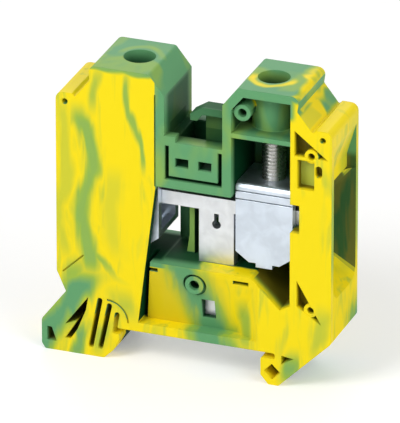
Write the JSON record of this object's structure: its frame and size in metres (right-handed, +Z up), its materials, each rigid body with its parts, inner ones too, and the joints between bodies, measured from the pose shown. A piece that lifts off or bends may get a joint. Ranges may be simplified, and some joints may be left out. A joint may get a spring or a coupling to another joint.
{
  "type": "earth terminal block",
  "caption": "Rail-mounted protective earth terminal block in green and yellow marbled plastic, with captive screw clamps, wire funnels, an earth bar and a spring foot.",
  "frame": {"origin": "middle of the seat on the rail, at the top plane of the rail's flanges", "axes": "+X across the rail, +Y along the rail away from the open side of the right chamber, +Z up from the rail"},
  "size_m": [0.0634, 0.016, 0.0655],
  "materials": {
    "housing": "satin moulded polyamide, yellow and green marbled",
    "tinned_copper": "bright tin plate",
    "zinc_plate": "bright zinc plate",
    "screw_steel": "bright zinc plate, turned"
  },
  "bodies": {
    "block": {"housing": "housing", "earth_bar": "tinned_copper", "rail_contact": "tinned_copper"},
    "left_screw": {"left_screw": "screw_steel"},
    "right_screw": {"right_screw": "screw_steel"},
    "left_sleeve": {"left_sleeve": "zinc_plate"},
    "right_sleeve": {"right_sleeve": "zinc_plate"}
  },
  "joints": [
    {"name": "right_screw_turn", "type": "hinge", "parent": "block", "child": "right_screw", "pos_m": [0.0146, 0, 0.05], "axis": [0, 0, -1], "range_deg": [0, 2611]},
    {"name": "left_screw_turn", "type": "hinge", "parent": "block", "child": "left_screw", "pos_m": [-0.0146, 0, 0.05], "axis": [0, 0, -1], "range_deg": [0, 2611]},
    {"name": "right_sleeve_lift", "type": "slide", "parent": "block", "child": "right_sleeve", "axis": [0, 0, 1], "range_m": [0, 0.0058]},
    {"name": "left_sleeve_lift", "type": "slide", "parent": "block", "child": "left_sleeve", "axis": [0, 0, 1], "range_m": [0, 0.0058]}
  ],
  "couplings": [
    {"joint": "right_screw_turn", "follows": "right_sleeve_lift", "rad_per_m": 7854},
    {"joint": "left_screw_turn", "follows": "left_sleeve_lift", "rad_per_m": 7854}
  ]
}
